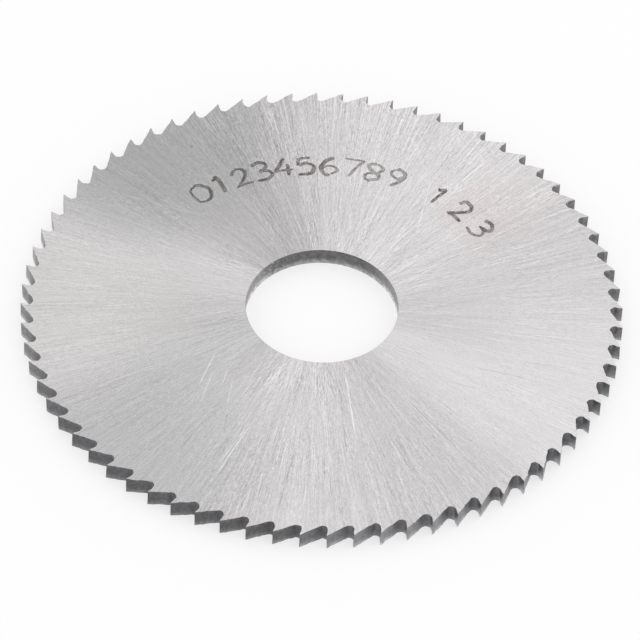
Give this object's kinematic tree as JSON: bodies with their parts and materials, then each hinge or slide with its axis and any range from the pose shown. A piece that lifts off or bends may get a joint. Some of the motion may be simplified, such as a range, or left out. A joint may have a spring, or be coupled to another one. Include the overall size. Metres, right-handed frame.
{
  "type": "metal slitting saw blade",
  "caption": "Thin circular saw blade of tool steel with fine raked teeth around its rim, ground faces and a plain round centre bore.",
  "frame": {"origin": "centre of the bore on the lower face, which the blade lies on", "axes": "+Z along the bore axis, out of the marked upper face; +X through the tip of one tooth"},
  "size_m": [0.063, 0.063, 0.002],
  "materials": {
    "ground_tool_steel": "ground, with a fine radial grain on both faces and darker tooth gullets and bore"
  },
  "bodies": {
    "root": {"saw_blade": "ground_tool_steel"}
  },
  "joints": []
}
